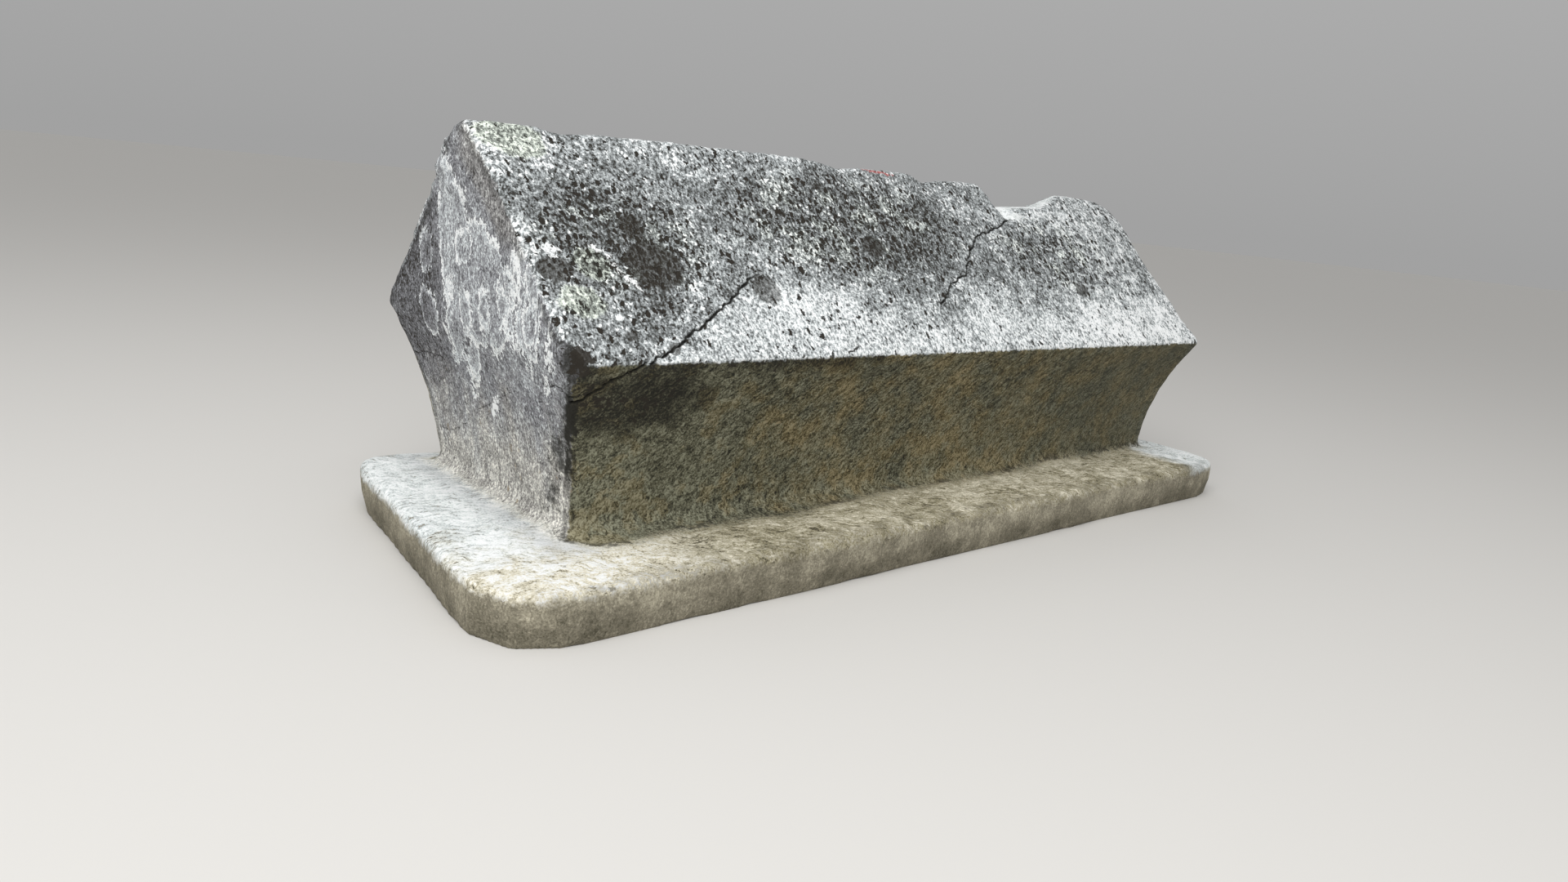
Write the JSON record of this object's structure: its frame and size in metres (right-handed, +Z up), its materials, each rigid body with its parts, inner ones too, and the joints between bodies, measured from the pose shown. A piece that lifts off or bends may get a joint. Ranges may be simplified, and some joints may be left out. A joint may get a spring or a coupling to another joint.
{
  "type": "gabled tombstone",
  "caption": "House-shaped stone grave marker: a gabled block with hollow leaning walls on a low base slab, cut from one piece of limestone, with a broken ridge and cracks.",
  "frame": {"origin": "middle of the flat underside of the base slab, on the ground", "axes": "+X along the stone's length towards the end with the ridge notch, -Y towards the front with the cracks, +Z up"},
  "size_m": [2.1046, 0.8117, 0.7467],
  "materials": {
    "limestone": "matte"
  },
  "bodies": {
    "root": {"tombstone": "limestone"}
  },
  "joints": []
}
